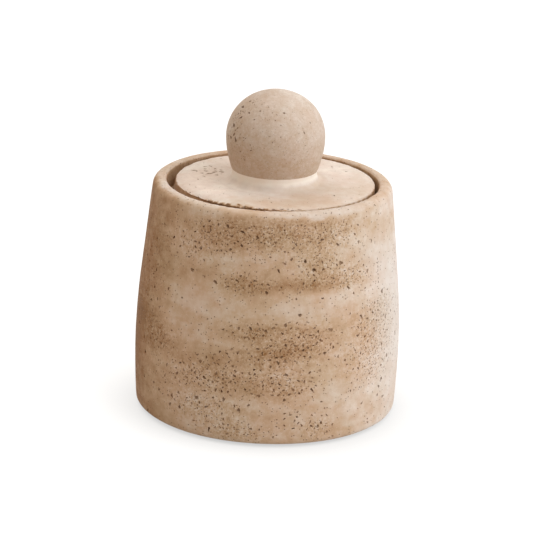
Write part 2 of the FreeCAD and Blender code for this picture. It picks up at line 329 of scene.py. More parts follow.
def addMask(mesh, label, values):
    # the poles come last and get 0
    poles = len(mesh.vertices) - len(values)
    layer = mesh.attributes.new(label, "FLOAT", "POINT")
    layer.data.foreach_set("value", np.pad(np.array(values, np.float32), (0, poles)))


def weldSeam(mesh, reach=0.001):
    # joins the seam and counts the edges that stay open
    work = bmesh.new()
    work.from_mesh(mesh)
    bmesh.ops.remove_doubles(work, verts=work.verts, dist=reach * mm)
    openEdges = sum(len(edge.link_faces) != 2 for edge in work.edges)
    work.to_mesh(mesh)
    work.free()
    return openEdges


def turnedStone(name, line, at, look, size, pores, worn, masks, closed=False, sharp=38):
    pores = sparsePores(line, pores)
    spacing = [(at[place] + past, gap) for place, past, gap in look["spacing"]]
    spots, faces = joinedSpots(line, turnedRows(line, spacing, random.Random(look["seed"])), pores)
    angle, along, sink, hollowShade = spots.T
    radius, height = onLine(line, "radius", along), onLine(line, "height", along)
    plain = aroundAxis(radius, height, angle).T
    inward = sink + np.array([worn(Vector(point), a, s) for point, a, s in zip(plain, angle, along)])
    radius = radius - onLine(line, "outRadius", along) * inward
    height = height - onLine(line, "outHeight", along) * inward
    points = (aroundAxis(radius, height, angle).T + (*size["middle"], 0)) * mm
    vertices = points.tolist()
    for end in () if closed else ("start", "end"):
        ring = np.nonzero(np.abs(along - at[end]) < samePlace)[0]
        ring = ring[np.argsort(angle[ring])].tolist()
        pole = len(vertices)
        vertices.append((size["middle"][0] * mm, size["middle"][1] * mm, float(np.mean(points[ring, 2]))))
        for one, two in zip(ring, ring[1:]):
            faces.append((pole, two, one) if end == "start" else (one, two, pole))
    mesh = bpy.data.meshes.new(name)
    mesh.from_pydata(vertices, [], faces)
    # the hollow mask is painted shade in the pores, darkest at their floors
    addMask(mesh, "hollowShade", hollowShade)
    for label, mask in masks.items():
        addMask(mesh, label, [mask(a, s) for a, s in zip(angle, along)])
    openEdges = weldSeam(mesh)
    mesh.shade_smooth()
    mesh.set_sharp_from_angle(angle=math.radians(sharp))
    print("%s: %d pores, %d faces, %d open edges" % (name, len(pores), len(mesh.polygons), openEdges))
    return placeObject(name, mesh)


# Masks and wear
def clamp(value):
    return min(1, max(0, value))


def evenly(share):
    return lambda angle, along: share


def swell(point, size, seed=0):
    # slow noise from 0 to 1, size in mm
    return 0.5 + 0.5 * noise.noise(point / size + Vector((seed, 0.37 * seed, 1.7)))


def ringSpot(angle, reach, third):
    # a place for noise that meets itself at the back
    return Vector((reach * math.sin(angle), reach * math.cos(angle), third))


def bump(gap, width):
    return math.exp(-(gap / width) ** 2)


def facing(angle, middle, wide):
    # 1 where the stone faces this way, falling off to both sides
    return bump((angle - middle + math.pi) % math.tau - math.pi, wide)


def inRadians(clouds):
    return [(math.radians(cloud[0]), cloud[1], math.radians(cloud[2]), *cloud[3:]) for cloud in clouds]


def cloudsAt(clouds, angle, level):
    total = 0
    for middle, height, wide, tall, amount in clouds:
        total += amount * facing(angle, middle, wide) * bump(level - height, tall)
    return total


def rubbedOff(point, depth, *waves):
    # an even depth, and waves of a depth, a size and a seed
    for deep, size, seed in waves:
        depth += deep * swell(point, size, seed)
    return depth


def chipped(point, size, seed, over):
    return max(0, swell(point, size, seed) - over)


# Jar
jarLook = {
    "girthHeight": 26.2,  # above the foot
    "curve": 335.0,  # radius of the barrel's side
    "taperRise": 35.4,  # the straight taper starts this far over the girth
    "sideStep": 1.5,
    "footRounding": 2.6,
    "rimLand": 6.2,
    "rimOuterShare": 0.6,
    "rimInnerShare": 0.24,
    "ledgeWidth": 5.6,
    "ledgeRounding": 0.67,
    "floor": 10.0,
    "floorRounding": 7.0,
    "spacing": (  # edge of the outline, mm past it, gap between mesh points
        ("start", 0, 3.2), ("foot", -6, 3.0), ("foot", 0, 1.1), ("foot", 6, 2.5), ("rim", -9, 2.5),
        ("rim", -5, 1.1), ("mouth", -2, 1.1), ("mouth", -1.5, 0.6), ("mouth", 1.5, 0.6), ("mouth", 3, 1.1),
        ("bore", 1, 1.1), ("bore", 8, 3.2), ("end", 0, 3.2),
    ),
    "side": (3, -4),  # from this far past the foot's edge to this far before the rim's
    "boldSlim": 0.55,
    "crackSlim": 0.4,
    "crackStep": 2.8,  # over half the size of its pores
    "driftsFrom": 4,  # mm over the foot
    "nicks": {"degrees": (-62, 20), "count": 38, "halves": (0.35, 0.8), "off": (-1.2, 0.4)},
    "bed": (5, 1),  # the lid lies between the mouth and the bore, this far past each edge
    "underside": (-3, -4),  # worn and stained apart from the side, up to here before the foot's edge
    "chips": {"depth": 0.5, "wide": 1.1, "to": 4, "kind": (2.4, 8, 0.5)},
    "innerFrom": 0.5,
    "innerShade": -0.45,
    "seed": 11,
}

# Noise that thickens strewn pores round the side: reach, mm upwards and seed. The front is placed one by one
sideLook = {"bands": (1.3, 9, 5), "patches": (3.5, 14, 9), "thick": 1.7, "least": 0.05,
            "front": 0.4, "frontTo": 1.3}

# Drifts of pores: degrees from the front, mm over the foot, half spreads, how many, usual half size
poreDrifts = [
    (-22, 94, 13, 7, 180, 0.38), (3, 96, 12, 7, 240, 0.38), (28, 95, 13, 7, 200, 0.38),
    (-40, 86, 14, 6, 44, 0.44), (21, 82, 8, 5, 60, 0.5), (-14, 73, 7, 4, 50, 0.52),
    (10, 74, 20, 3, 40, 0.34), (38, 75, 10, 5, 90, 0.38), (58, 55, 12, 7, 160, 0.42),
    (54, 37, 15, 12, 260, 0.42), (-5, 52, 10, 4, 70, 0.5), (16, 48, 11, 7, 140, 0.5),
    (0, 41, 11, 4, 70, 0.48), (-53, 42, 9, 5, 80, 0.34), (-24, 30, 19, 6, 380, 0.5),
    (9, 29, 9, 6, 110, 0.48), (-28, 15, 16, 6, 100, 0.46), (-13, 5, 12, 4, 90, 0.42),
    (23, 8, 6, 4, 40, 0.5), (-66, 60, 10, 30, 90, 0.36),
]

# Single holes that the eye lands on: degrees from the front, mm over the foot, half length
boldPores = [
    (-13, 96, 1.1), (-13, 90, 0.9), (-36, 86, 0.8), (-50, 87, 1.0), (4, 80, 1.0), (20, 80, 1.1),
    (16, 84, 1.0), (32, 90, 1.0), (53, 88, 0.8), (-20, 42, 0.8), (8, 47, 0.9), (5, 39, 1.0),
    (52, 56, 0.9), (-30, 28, 0.9), (-39, 12, 1.1), (20, 26, 1.1), (57, 16, 0.8), (25, 10, 0.9),
    (-24, 5, 1.1),
]

# Thin upright cracks, rows of small pores: degrees from the front, mm over the foot from and to, half size
cracks = [
    (57.3, 68.5, 79.5, 0.62),
    (-6.5, 83.0, 88.5, 0.4),
]
poreRing = {"angle": 11.5, "height": 11.5, "radius": 3.4, "from": -70, "to": 210, "count": 11,
            "half": 0.75, "slim": 0.5}

# Clouds in the stone: degrees from the front, mm over the foot, half spreads, brown below zero and pale
# above. The two broad first ones are painted shade on the left side and painted light on the right side,
# adding to the lamps' own fall of light
jarClouds = [
    (-84, 55, 30, 90, -0.95), (80, 55, 38, 90, 0.85), (-38, 24, 24, 22, 0.32),
    (-52, 42, 10, 6, 0.15), (-86, 24, 18, 16, -0.4), (-57, 70, 14, 5, -0.25),
    (-57, 50, 14, 5, -0.3), (-16, 93, 26, 5, -0.2), (-40, 87, 13, 6, 0.35), (-24, 18, 16, 18, 0.15),
    (20, 44, 22, 6, -0.22), (4, 17, 9, 4, 0.2), (70, 90, 25, 12, -0.35), (12, 92, 24, 4, -0.15),
    (14, 85, 14, 5, 0.25), (-12, 73, 10, 5, -0.35), (20, 73, 20, 4, -0.5), (4, 50, 26, 5, -0.35),
    (-28, 36, 22, 7, -0.3), (-22, 25, 22, 4, -0.3), (-30, 62, 22, 7, 0.35), (12, 62, 22, 5, 0.4),
    (54, 85, 16, 11, 0.25), (28, 24, 16, 5, 0.3), (-6, 20, 18, 3, 0.25), (14, 12, 9, 7, 0.22),
]

# Pale rim: partly rubbed stone, partly painted highlight on the rim's top, palest at the right front, with
# pale flecks at the mouth that are partly chips and partly painted highlight. Facings are radians from the
# front and a half spread
paleRimAndHighlight = {
    "amount": 0.6,
    "depth": 1.5,  # reaches this far down the side
    "depthShares": (0.4, 1.8),
    "ragged": 1.6,
    "fade": 2.4,
    "palest": (0.45, 0.5),
    "left": (-1.2, 0.6),
    "shares": (0.1, 0.6),
    "clearsClouds": 0.75,
    "fleckAndGlint": {"tone": 3, "over": 0.1, "facing": (-0.3, 0.7), "wide": 1.3},
}

# How porous the ground between the modelled pores looks
porousLook = {"rim": 0.15, "rimFrom": -1, "wider": 1.2, "sidesFrom": 1.2, "sidesOver": 0.35}


def jarOutline(look, size):
    foot = size["base"]
    rim = size["top"]
    curve = look["curve"]
    centre = (size["radius"] - curve, foot + look["girthHeight"])
    across = math.sqrt(curve ** 2 - look["taperRise"] ** 2)
    slope = look["taperRise"] / across
    taperStart = np.array((across + centre[0], centre[1] + look["taperRise"]))
    rimRadius = taperStart[0] - slope * (rim - taperStart[1])
    mouth = rimRadius - look["rimLand"]
    bore = mouth - look["ledgeWidth"]
    ledge = lidSize["base"]
    floor = foot + look["floor"]
    low, high = -math.asin(look["girthHeight"] / curve), math.asin(look["taperRise"] / curve)
    side = arcPoints(centre, curve, low, high, look["sideStep"])
    outer = look["rimLand"] * look["rimOuterShare"]
    inner = look["rimLand"] * look["rimInnerShare"]
    points = [poleAt(foot)]
    points += easedCorner((0, foot), side[0], side[3], look["footRounding"])
    points += side[3:]
    points += easedCorner(taperStart, (rimRadius, rim), (mouth, rim), outer)
    points += easedCorner((rimRadius, rim), (mouth, rim), (mouth, ledge), inner)
    points.append(np.array((mouth, ledge)))
    points += easedCorner((mouth, ledge), (bore, ledge), (bore, floor), look["ledgeRounding"])
    points += easedCorner((bore, ledge), (bore, floor), (0, floor), look["floorRounding"])
    points.append(poleAt(floor))
    line = measured(points)
    return line, namedPlaces(line, {"foot": side[0], "rim": (rimRadius, rim), "mouth": (mouth, rim),
                                    "ledge": (mouth, ledge), "bore": (bore, ledge), "floor": (bore, floor)})


def sideDrift(look, angle, level):
    thick = look["thick"]
    for reach, rise, seed in (look["bands"], look["patches"]):
        thick *= swell(ringSpot(angle, reach, level / rise), 1, seed)
    return (look["front"] if abs(angle) < look["frontTo"] else 1) * max(look["least"], thick)


def placedPores(look, alongSide, rand):
    # bold holes, cracks and the ring of holes at the lower front
    pores = []
    for degrees, height, half in boldPores:
        pores.append(poreAt(math.radians(degrees), alongSide(height), half, rand, look["boldSlim"]))
        pores[-1]["dark"] = 1
    for degrees, low, high, half in cracks:
        for height in np.arange(low, high, look["crackStep"] * half):
            pores.append(poreAt(math.radians(degrees), alongSide(height), half, rand, look["crackSlim"]))
            pores[-1].update(turn=math.pi / 2, dark=1)
    ring = poreRing
    for index in range(ring["count"]):
        turn = math.radians(ring["from"] + (ring["to"] - ring["from"]) * index / (ring["count"] - 1))
        angle = math.radians(ring["angle"]) + ring["radius"] * math.cos(turn) / jarSize["radius"]
        along = alongSide(ring["height"] + ring["radius"] * math.sin(turn))
        pores.append(poreAt(angle, along, ring["half"], rand, ring["slim"]))
        pores[-1]["turn"] = turn + math.pi / 2
    return pores


def rimWearAndHighlight(look, angle, along, level, at, clouds):
    # the clouds give way at the rim, where the stone is rubbed pale and a highlight is painted on
    palest = facing(angle, *look["palest"])
    least, most = look["depthShares"]
    reach = along - at["rim"] + look["depth"] * (least + most * palest)
    land = clamp((reach + look["ragged"] * noise.noise(ringSpot(angle, 9, level / 6))) / look["fade"])
    least, most = look["shares"]
    faint = least + most * (palest + facing(angle, *look["left"]) + swell(ringSpot(angle, 3, 8), 1))
    fleckAndGlint = look["fleckAndGlint"]
    tone = fleckAndGlint["tone"] * max(0, noise.noise(ringSpot(angle, 34, along)) - fleckAndGlint["over"])
    tone *= facing(angle, *fleckAndGlint["facing"]) * bump(along - at["mouth"], fleckAndGlint["wide"])
    return clouds * (1 - look["clearsClouds"] * land) + look["amount"] * faint * land + tone


def buildJar(look):
    rand = random.Random(look["seed"])
    line, at = jarOutline(look, jarSize)
    places = np.linspace(at["foot"] + look["side"][0], at["rim"] + look["side"][1], 60)
    levels = onLine(line, "height", places) - jarSize["base"]
    clouds = inRadians(jarClouds)
    wider = porousLook["wider"]
    grounds = inRadians([(degrees, height, wide * wider, tall * wider, min(1, count / (wide * tall)))
                         for degrees, height, wide, tall, count, usual in poreDrifts])

    def drift(angle, along):
        return sideDrift(sideLook, angle, levelAt(line, jarSize, along))

    pores = placedPores(look, lambda height: float(np.interp(height, levels, places)), rand)
    pores += driftPores(poreDrifts, levels, places, rand, look["driftsFrom"], coarser=1.1, sizes=0.35)
    pores += edgeNicks(look["nicks"], at["mouth"], rand)
    pores += strewnPores(line, at["foot"] - 1, at["rim"] - 2, rand, drift, count=1000, usual=0.4, largest=1.1)
    pores += strewnPores(line, at["rim"] - 1, at["mouth"] + 1, rand, evenly(0.8), count=110, usual=0.28,
                         largest=0.55)
    pores += strewnPores(line, at["bore"] + 2, at["floor"] + 40, rand, drift, count=150, usual=0.55,
                         largest=1.3, widest=43)
    pores += strewnPores(line, 6, at["foot"] - 4, rand, evenly(1), count=90, usual=0.5, largest=1.2)

    def worn(point, angle, along):
        chips = look["chips"]
        if at["mouth"] + look["bed"][0] < along < at["bore"] + look["bed"][1]:
            return 0
        if along < at["foot"] + look["underside"][0]:
            return rubbedOff(point, 0, (0.1, 15, 0))
        depth = rubbedOff(point, 0.03, (0.16, 21, 0), (0.05, 6, 3))
        depth += rubbedOff(point, 0, (0.14, 9, 4)) * bump(along - at["rim"], 4)
        lipGap = abs(along - at["mouth"])
        if lipGap < chips["to"]:
            depth += chips["depth"] * chipped(point, *chips["kind"]) * 2 * bump(lipGap, chips["wide"])
        return depth

    def stainAndPaintedLight(angle, along):
        if along < at["foot"] + look["underside"][1] or along > at["ledge"]:
            return 0
        # painted shade on the mouth's inner wall, down to the ledge the lid lies on
        if along > at["mouth"] + look["innerFrom"]:
            return look["innerShade"]
        level = levelAt(line, jarSize, along)
        return rimWearAndHighlight(paleRimAndHighlight, angle, along, level, at, cloudsAt(clouds, angle, level))

    def porous(angle, along):
        if along > at["rim"] + porousLook["rimFrom"]:
            return porousLook["rim"]
        total = cloudsAt(grounds, angle, levelAt(line, jarSize, along))
        if abs(angle) > porousLook["sidesFrom"]:
            total += max(0, drift(angle, along) - porousLook["sidesOver"])
        return min(1, total)

    size = dict(jarSize, middle=(0, 0))
    return turnedStone("jarStone", line, at, look, size, pores, worn, {"stainAndPaintedLight": stainAndPaintedLight, "porous": porous})


# Lid
lidLook = {
    "topRounding": 1.2,
    "underEase": 0.6,
    "seatBand": 10.0,  # underside that lies on the ledge stays flat
    "spacing": (
        ("start", 0, 3), ("under", -4, 3), ("under", 0, 1.1), ("upper", -2, 0.6), ("upper", 2, 0.6),
        ("upper", 3, 1.1), ("upper", 9, 2.3), ("end", 0, 2.3),
    ),
    "bare": 25.5,  # the top is true out to here, where the bead's feather ends
    "bareFade": 3,
    "markSlim": 0.8,
    "porous": 0.05,
    "nicks": {"degrees": (-66, 16), "count": 44, "halves": (0.5, 1.15), "off": (-0.4, 2.0)},
    "cluster": {"degrees": -108, "out": 30, "wide": 7.5, "tall": 5.5, "count": 30, "usual": 1.15,
                "sizes": 0.3, "largest": 1.7, "slim": (0.55, 0.8), "turn": 0.4, "from": 23.5},
    "rough": (math.radians(-42), 0.8),  # the edge is roughest here: radians from the front, half spread
    "roughShares": (0.25, 0.75),
    "chips": {"depth": 0.9, "wide": 1.4, "coarse": (2.6, 6, 0.46), "fine": (1.2, 9, 0.5)},
    "edge": {"depths": (0.25, 1.9), "wide": 2.6, "shares": (0.4, 0.8), "swell": (6, 12)},
    "broken": (math.radians(-27), 0.5),  # and the painted shade of the gap is widest here
    # painted shade on the lid's edge, side and underside, where the gap to the rim lies in shade
    "shadow": {"start": -0.3, "wider": 3.2, "ragged": (0.9, 1.6), "fade": 1.2, "side": 0.4, "edge": 0.9,
               "down": 3},
    "back": (math.radians(125), 0.6),
    "backStain": 0.2,
    "seed": 23,
}

# Marks on the lid's top: degrees from the front, mm from the lid's middle, half length
lidPores = [
    (-113, 34, 0.7), (-114, 29, 0.7), (-117, 27, 0.8), (-101, 33, 0.9), (-104, 24, 0.6),
    (-99, 26, 1.0), (-84, 34, 0.7), (-126, 40, 0.5), (134, 35, 0.7), (119, 36, 0.7), (51, 33, 0.8),
    (-80, 44, 0.8),
]

# Clouds on the top: radians from the front, mm from the middle, half spreads, brown below zero and pale
# above. The two pale ones on the left are painted light where the knob's shadow falls
lidClouds = [
    (math.radians(6), 36, 0.6, 8, -0.4),
    (math.radians(-50), 27, 1.0, 5, 0.2),
    (math.radians(-95), 36, 0.9, 9, 0.3),
]


def lidOutline(look, size):
    radius, base, top = size["radius"], size["base"], size["top"]
    ease = look["underEase"]
    points = [poleAt(base), np.array((radius - ease, base)), np.array((radius, base + ease))]
    points += easedCorner((radius, base), (radius, top), (0, top), look["topRounding"])
    points.append(poleAt(top))
    line = measured(points)
    return line, namedPlaces(line, {"under": (radius - ease, base), "upper": (radius, top)})


def clusterPores(look, end, rand):
    # a cluster of upright marks on the left
    pores = []
    for index in range(look["count"]):
        out = look["out"] + rand.gauss(0, look["wide"] * gather)
        angle = math.radians(look["degrees"]) + rand.gauss(0, look["tall"] * gather) / look["out"]
        if out > look["from"]:
            half = min(look["largest"], rand.lognormvariate(math.log(look["usual"]), look["sizes"]))
            pores.append(poreAt(angle, end - out, half, rand, rand.uniform(*look["slim"])))
            pores[-1].update(turn=rand.gauss(math.pi / 2, look["turn"]), dark=1)
    return pores


def buildLid(look):
    rand = random.Random(look["seed"])
    line, at = lidOutline(look, lidSize)
    pores = [poreAt(math.radians(degrees), at["end"] - out, half, rand, look["markSlim"])
             for degrees, out, half in lidPores]
    pores += edgeNicks(look["nicks"], at["upper"], rand)
    pores += clusterPores(look["cluster"], at["end"], rand)

    def topDrift(angle, along):
        return 0.15 + 0.85 * swell(ringSpot(angle, 2, along / 12), 1, 3) ** 3

    last = at["end"] - look["bare"] - 1
    pores += strewnPores(line, at["upper"] + 1, last, rand, topDrift, count=90, usual=0.3, largest=0.6,
                         widest=46)
    pores += strewnPores(line, 3, at["under"] - 3, rand, evenly(1), count=60, usual=0.5, largest=1.1,
                         widest=46)

    def worn(point, angle, along):
        if along < at["under"]:
            flat = point.xy.length > lidSize["radius"] - look["seatBand"]
            return 0 if flat else rubbedOff(point, 0, (0.08, 12, 0))
        chips, edge = look["chips"], look["edge"]
        edgeGap = abs(along - at["upper"])
        least, most = look["roughShares"]
        rough = least + most * facing(angle, *look["rough"])
        chip = chipped(point, *chips["coarse"]) * 2 + 0.5 * chipped(point, *chips["fine"])
        bare = clamp((at["end"] - along - look["bare"]) / look["bareFade"])
        depth = bare * rubbedOff(point, 0.03, (0.1, 17, 2))
        depth += rough * chips["depth"] * chip * bump(edgeGap, chips["wide"])
        least, most = edge["shares"]
        uneven = least + most * swell(point, *edge["swell"])
        least, most = edge["depths"]
        return depth + (least + most * rough * rough) * bump(edgeGap, edge["wide"]) * uneven

    def stainAndPaintedLight(angle, along):
        shadow = look["shadow"]
        ragged = noise.noise(ringSpot(angle, 20, along / 2)) + 0.6 * noise.noise(ringSpot(angle, 55, along))
        broken = facing(angle, *look["broken"])
        least, most = shadow["ragged"]
        start = at["upper"] + shadow["start"] + shadow["wider"] * broken
        share = clamp((start + (least + most * broken) * ragged - along) / shadow["fade"])
        if share > 0:
            # painted shade of the gap: darkest at the upper edge, a lighter painted shade down the side and
            # underside
            under = bump(max(0, at["upper"] - along), shadow["down"])
            return -(shadow["side"] + shadow["edge"] * (1 + broken) * under) * share
        back = look["backStain"] * facing(angle, *look["back"])
        return cloudsAt(lidClouds, angle, at["end"] - along) + back

    return turnedStone("lidStone", line, at, look, lidSize, pores, worn,
                       {"stainAndPaintedLight": stainAndPaintedLight, "porous": evenly(look["porous"])})


# Knob
knobLook = {
    "girthHeight": 20.3,  # over the seat
    "flankOffset": 1.5,
    "crownExtra": 3.3,
    "lowerExtra": 16.3,
    "step": 0.2,
    "spacing": (("start", 0, 3), ("seat", 0, 2), ("seat", 4, 1.25), ("end", 0, 1.25)),
    "beadCover": 6.2,  # the bead hides the ball up to here
    "bareFade": 4,
    "driftsTo": 39,
    "shares": (0.4, 0.9),  # strewn pores at the front and round the rest
    "frontTo": 1.2,
    "porous": 0.35,
    # painted light and shade on the ball: darker low, paler upward, on the right side and at the crown
    "tones": {"low": -0.22, "upper": 0.45, "from": 11, "over": 17, "right": 0.1, "crown": 0.2,
              "crownAt": (42, 7)},
    "seed": 37,
}

# Drifts of pores: degrees from the front, mm over the seat, half spreads, how many, usual half size
knobDrifts = [
    (-62, 29, 11, 8, 22, 0.85), (-61, 29, 13, 9, 60, 0.42), (-48, 22, 16, 5, 24, 0.32),
    (0, 26, 20, 7, 30, 0.27), (-20, 36, 25, 3, 26, 0.3), (35, 17, 22, 6, 20, 0.27),
]


def knobOutline(look, size):
    radius, seat = size["radius"], size["base"]
    girth = seat + look["girthHeight"]
    lower = radius + look["lowerExtra"]
    flank = radius - look["flankOffset"]
    crown = flank + look["crownExtra"]
    drop = math.sqrt(look["crownExtra"] ** 2 - look["flankOffset"] ** 2)
    meet = math.atan2(drop, look["flankOffset"])
    seatTurn = -math.asin(look["girthHeight"] / lower)
    topTurn = math.pi / 2 - poleRadius / crown
    points = [poleAt(seat)]
    points += arcPoints((-look["lowerExtra"], girth), lower, seatTurn, 0, look["step"])
    points += arcPoints((look["flankOffset"], girth), flank, 0, meet, look["step"])
    points += arcPoints((0, girth - drop), crown, meet, topTurn, look["step"])
    line = measured(points, 0.3)
    at = namedPlaces(line, {})
    at["seat"] = float(line["along"][np.argmax(line["height"] > seat + 0.01)])
    return line, at


def buildKnob(look):
    rand = random.Random(look["seed"])
    line, at = knobOutline(look, knobSize)
    places = line["along"][line["along"] > at["seat"]]
    levels = onLine(line, "height", places) - knobSize["base"]
    front, rest = look["shares"]

    def drift(angle, along):
        return front if abs(angle) < look["frontTo"] else rest

    pores = driftPores(knobDrifts, levels, places, rand, look["beadCover"], look["driftsTo"], darkOver=0.4)
    low = at["seat"] + look["beadCover"] + 1
    pores += strewnPores(line, low, at["end"] - 4, rand, drift, count=130, usual=0.26, largest=0.6, widest=23)

    def worn(point, angle, along):
        bare = clamp((point.z - knobSize["base"] - look["beadCover"]) / look["bareFade"])
        return bare * rubbedOff(point, 0.01, (0.1, 13, 1), (0.04, 4, 2))

    def stainAndPaintedLight(angle, along):
        # painted light and shade: lighter where the light falls from above and from the right
        tones = look["tones"]
        level = levelAt(line, knobSize, along)
        height, wide = tones["crownAt"]
        tone = tones["low"] + tones["upper"] * clamp((level - tones["from"]) / tones["over"])
        return tone + tones["right"] * math.sin(angle) + tones["crown"] * bump(level - height, wide)

    return turnedStone("knobStone", line, at, look, knobSize, pores, worn,
                       {"stainAndPaintedLight": stainAndPaintedLight, "porous": evenly(look["porous"])})


# Bead of filler round the knob's foot
beadLook = {
    "cove": 3.9,
    "coveStep": 0.2,
    "lip": 0.15,
    "feather": 1.5,  # rubbed out over the lid this much further
    "step": 0.3,
    "spacing": (("start", 0, 0.8), ("end", 0, 0.8)),
    # paler upper cove and left side: partly a paler filler, partly painted highlight
    "tones": {"upper": 0.8, "from": 0.45, "over": 0.3, "low": -0.05, "left": 0.35},
    "left": (math.radians(-50), 1.0),
    "porous": 0,
    "seed": 41,
}


def beadOutline(look, size):
    base = size["base"]
    radius = size["radius"]
    lower = knobSize["radius"] + knobLook["lowerExtra"]
    lowerCentre = np.array((-knobLook["lowerExtra"], base + knobLook["girthHeight"]))
    coveCentre = np.array((radius, base + look["lip"] + look["cove"]))
    towards = unit(lowerCentre - coveCentre)
    meet = math.atan2(towards[1], towards[0])
    seatTurn = -math.asin(knobLook["girthHeight"] / lower)
    lipTurn = math.atan2(-towards[1], -towards[0])
    flank = arcPoints(lowerCentre, lower, lipTurn, seatTurn, look["step"])
    points = [flank[-1], np.array((radius + look["feather"], base)), np.array((radius, base + look["lip"]))]
    points += arcPoints(coveCentre, look["cove"], math.pi * 1.5, meet, look["coveStep"])[1:]
    points += flank
    line = measured(points, look["step"])
    at = namedPlaces(line, {"cove": (radius, base + look["lip"])})
    at["top"] = float(line["along"][np.argmax(line["height"])])
    return line, at


def buildBead(look):
    line, at = beadOutline(look, beadSize)

    def shareUp(along):
        return clamp((along - at["cove"]) / (at["top"] - at["cove"]))

    def worn(point, angle, along):
        if along < at["cove"] or along > at["top"]:
            return 0
        return math.sin(math.pi * shareUp(along)) * rubbedOff(point, 0, (0.2, 8, 3), (0.08, 3, 5))

    def stainAndPaintedLight(angle, along):
        # partly filler colour, partly painted highlight on the upper cove and the left side
        tones = look["tones"]
        rise = clamp((shareUp(along) - tones["from"]) / tones["over"])
        low = tones["left"] * facing(angle, *look["left"]) + tones["low"]
        return tones["upper"] * rise + low * (1 - rise)

    return turnedStone("footBead", line, at, look, beadSize, [], worn,
                       {"stainAndPaintedLight": stainAndPaintedLight, "porous": evenly(look["porous"])}, closed=True)


jarStone = buildJar(jarLook)
lidStone = buildLid(lidLook)
knobStone = buildKnob(knobLook)
footBead = buildBead(beadLook)


# Shader helpers
def linear(red, green, blue):
    # a colour as it looks on screen, 0 to 255, as Blender's linear values
    values = [v / 255 for v in (red, green, blue)]
    return tuple(v / 12.92 if v <= 0.04045 else ((v + 0.055) / 1.055) ** 2.4 for v in values) + (1,)


def feed(tree, node, inputs):
    # an input takes a link from a socket, or a plain value
    for key, item in inputs.items():
        if isinstance(item, bpy.types.NodeSocket):
            tree.links.new(item, node.inputs[key])
        else:
            node.inputs[key].default_value = item


def addNode(tree, kind, inputs=None, **settings):
    node = tree.nodes.new("ShaderNode" + kind)
    for key, value in settings.items():
        setattr(node, key, value)
    feed(tree, node, inputs or {})
    return node


def mathNode(tree, operation, *items, clamped=False):
    node = addNode(tree, "Math", dict(enumerate(items)), operation=operation, use_clamp=clamped)
    return node.outputs[0]


def noiseNode(tree, **inputs):
    return addNode(tree, "TexNoise", inputs).outputs


def colourMix(tree, factor, first, second, blend="MIX"):
    inputs = {0: factor, 6: first, 7: second}
    return addNode(tree, "Mix", inputs, data_type="RGBA", blend_type=blend).outputs[2]


def mapRange(tree, value, ends):
    return addNode(tree, "MapRange", dict(ends, Value=value)).outputs[0]


def bumpNode(tree, height, strength, distance):
    inputs = {"Strength": strength, "Distance": distance, "Height": height}
    return addNode(tree, "Bump", inputs).outputs[0]


def rampNode(tree, factor, stops):
    node = addNode(tree, "ValToRGB", {0: factor})
    ramp = node.color_ramp
    while len(ramp.elements) < len(stops):
        ramp.elements.new(0.5)
    for element, (place, colour) in zip(ramp.elements, stops):
        element.position = place
        element.color = colour
    return node.outputs[0]


def objectPlace(tree):
    return addNode(tree, "TexCoord").outputs["Object"]


def newGroup(name, inputs, outputs):
    group = bpy.data.node_groups.new(name, "ShaderNodeTree")
    for label, value in inputs.items():
        socket = group.interface.new_socket(name=label, in_out="INPUT", socket_type="NodeSocketFloat")
        socket.default_value = value
    for label in outputs:
        group.interface.new_socket(name=label, in_out="OUTPUT", socket_type="NodeSocketFloat")
    return group, group.nodes.new("NodeGroupInput").outputs, group.nodes.new("NodeGroupOutput")


def placeGroup(tree, group, inputs):
    return addNode(tree, "Group", inputs, node_tree=group).outputs


def newMaterial(name):
    material = bpy.data.materials.new(name)
    material.use_nodes = True
    return material, material.node_tree


# Soft layers laid down in the stone, bent a little and broken by clouds
def strataGroup():
    group, given, out = newGroup("stoneStrata", {"Layers": 26.0, "Flatness": 5.0, "Bend": 0.012,
                                                 "Clouds": 0.45, "Shift": 0.0}, ["Value"])

    def vectorMath(operation, inputs):
        return addNode(group, "VectorMath", inputs, operation=operation).outputs[0]

    shifted = vectorMath("ADD", {0: objectPlace(group), 1: given["Shift"]})
    waves = noiseNode(group, Vector=shifted, Scale=24.0, Detail=2.0)["Color"]
    centred = vectorMath("SUBTRACT", {0: waves, 1: (0.5, 0.5, 0.5)})
    moved = vectorMath("ADD", {0: shifted, 1: vectorMath("SCALE", {0: centred, "Scale": given["Bend"]})})
    parts = addNode(group, "SeparateXYZ", {0: moved}).outputs
    tall = mathNode(group, "MULTIPLY", parts[2], given["Flatness"])
    squeezed = addNode(group, "CombineXYZ", {0: parts[0], 1: parts[1], 2: tall}).outputs[0]
    layers = noiseNode(group, Vector=squeezed, Scale=given["Layers"], Detail=5.0, Roughness=0.55)["Fac"]
    clouds = noiseNode(group, Vector=moved, Scale=70.0, Detail=4.0, Roughness=0.6)["Fac"]
    difference = mathNode(group, "SUBTRACT", clouds, layers)
    feed(group, out, {"Value": mathNode(group, "MULTIPLY_ADD", difference, given["Clouds"], layers)})
    return group


# Pinprick pores too small to model, thick where the stone is porous
pinprickLook = {
    "least": 0.5,  # share of its size that a ragged pore keeps where it is narrowest
    "patchy": 0.9,
    "share": 0.42,  # of the cells that hold a pore
    "crisp": 14.0,
}


